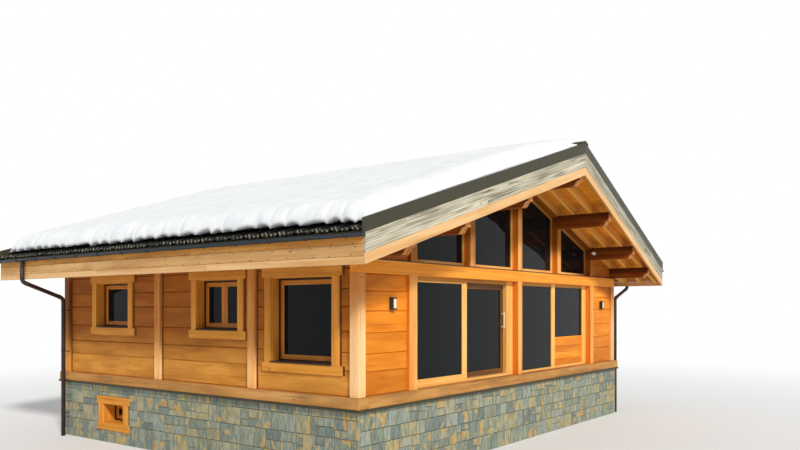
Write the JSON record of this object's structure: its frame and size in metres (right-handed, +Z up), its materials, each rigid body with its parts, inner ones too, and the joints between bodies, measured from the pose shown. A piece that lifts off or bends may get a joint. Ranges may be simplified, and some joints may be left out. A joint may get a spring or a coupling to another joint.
{
  "type": "alpine chalet",
  "caption": "One-storey timber chalet on a stone basement with a prow-gabled roof under snow, log infill between posts, a glazed gable and a sliding door",
  "frame": {"origin": "middle of the house plan at the lowest ground level, under the basement floor", "axes": "+X to the right along the glazed front gable, +Y from the front gable to the back, +Z up"},
  "size_m": [14.126, 12.06, 6.9752],
  "materials": {
    "concrete": "cast concrete, matt",
    "slate_stone": "split slate cladding in mortar",
    "pale_larch": "planed larch posts and boards, oiled",
    "honey_larch": "squared larch logs, oiled",
    "shaded_larch": "squared larch logs, weathered brown",
    "lining_wood": "interior boarding",
    "floor_wood": "oiled floor boards",
    "brown_beam": "stained structural timber",
    "frame_wood": "varnished window frames",
    "weathered_wood": "bleached grey boards",
    "soffit_wood": "boarded soffit",
    "insulation": "wood fibre board",
    "dark_metal": "coated sheet, satin",
    "gutter_metal": "coated sheet, satin",
    "brown_metal": "coated pipe, satin",
    "track_metal": "anodised rail",
    "handle_finish": "pale anodised bar",
    "lamp_metal": "painted lamp body",
    "lamp_white": "white lamp body",
    "dark_tiles": "dark roof tiles",
    "snow": "settled snow",
    "glass": "clear double glazing"
  },
  "bodies": {
    "house": {"basement_floor": "concrete", "basement_wall_front": "slate_stone", "basement_wall_back": "slate_stone", "basement_wall_left": "slate_stone", "basement_wall_right": "slate_stone", "drip_flashing": "dark_metal", "sill_beams": "pale_larch", "ground_floor": "floor_wood", "side_wall_posts": "pale_larch", "front_posts": "pale_larch", "front_lintel_beam": "honey_larch", "back_timber_frame": "pale_larch", "left_wall_logs": "shaded_larch", "right_wall_logs": "shaded_larch", "front_wall_logs": "honey_larch", "back_wall_logs": "honey_larch", "left_wall_lining": "lining_wood", "right_wall_lining": "lining_wood", "front_wall_lining": "lining_wood", "back_wall_lining": "lining_wood", "window_casings": "pale_larch", "window_frames": "frame_wood", "window_glass": "glass", "window_sills": "dark_metal", "door_frame": "pale_larch", "door_track": "track_metal", "door_fixed_leaf": "pale_larch", "front_glazed_frame": "pale_larch", "front_glazed_panel": "honey_larch", "front_glass": "glass", "upper_window_frames": "pale_larch", "upper_window_glass": "glass", "gable_headers": "honey_larch", "purlins": "brown_beam", "rafters": "shaded_larch", "eave_blocking": "shaded_larch", "roof_deck": "soffit_wood", "roof_insulation": "insulation", "roof_tiles": "dark_tiles", "roof_snow": "snow", "verge_boards_lower": "pale_larch", "verge_boards_weathered": "weathered_wood", "verge_flashings": "dark_metal", "eave_fascias": "pale_larch", "gutters": "gutter_metal", "downpipes": "brown_metal", "ridge_cap": "dark_metal", "wall_lamps": "lamp_metal", "spot_lamp": "lamp_white"},
    "door_leaf": {"door_sliding_leaf": "honey_larch", "door_sliding_glass": "glass", "door_handle": "handle_finish"}
  },
  "joints": [
    {"name": "sliding_door", "type": "slide", "parent": "house", "child": "door_leaf", "axis": [-1, 0, 0], "range_m": [0, 1.6]}
  ]
}
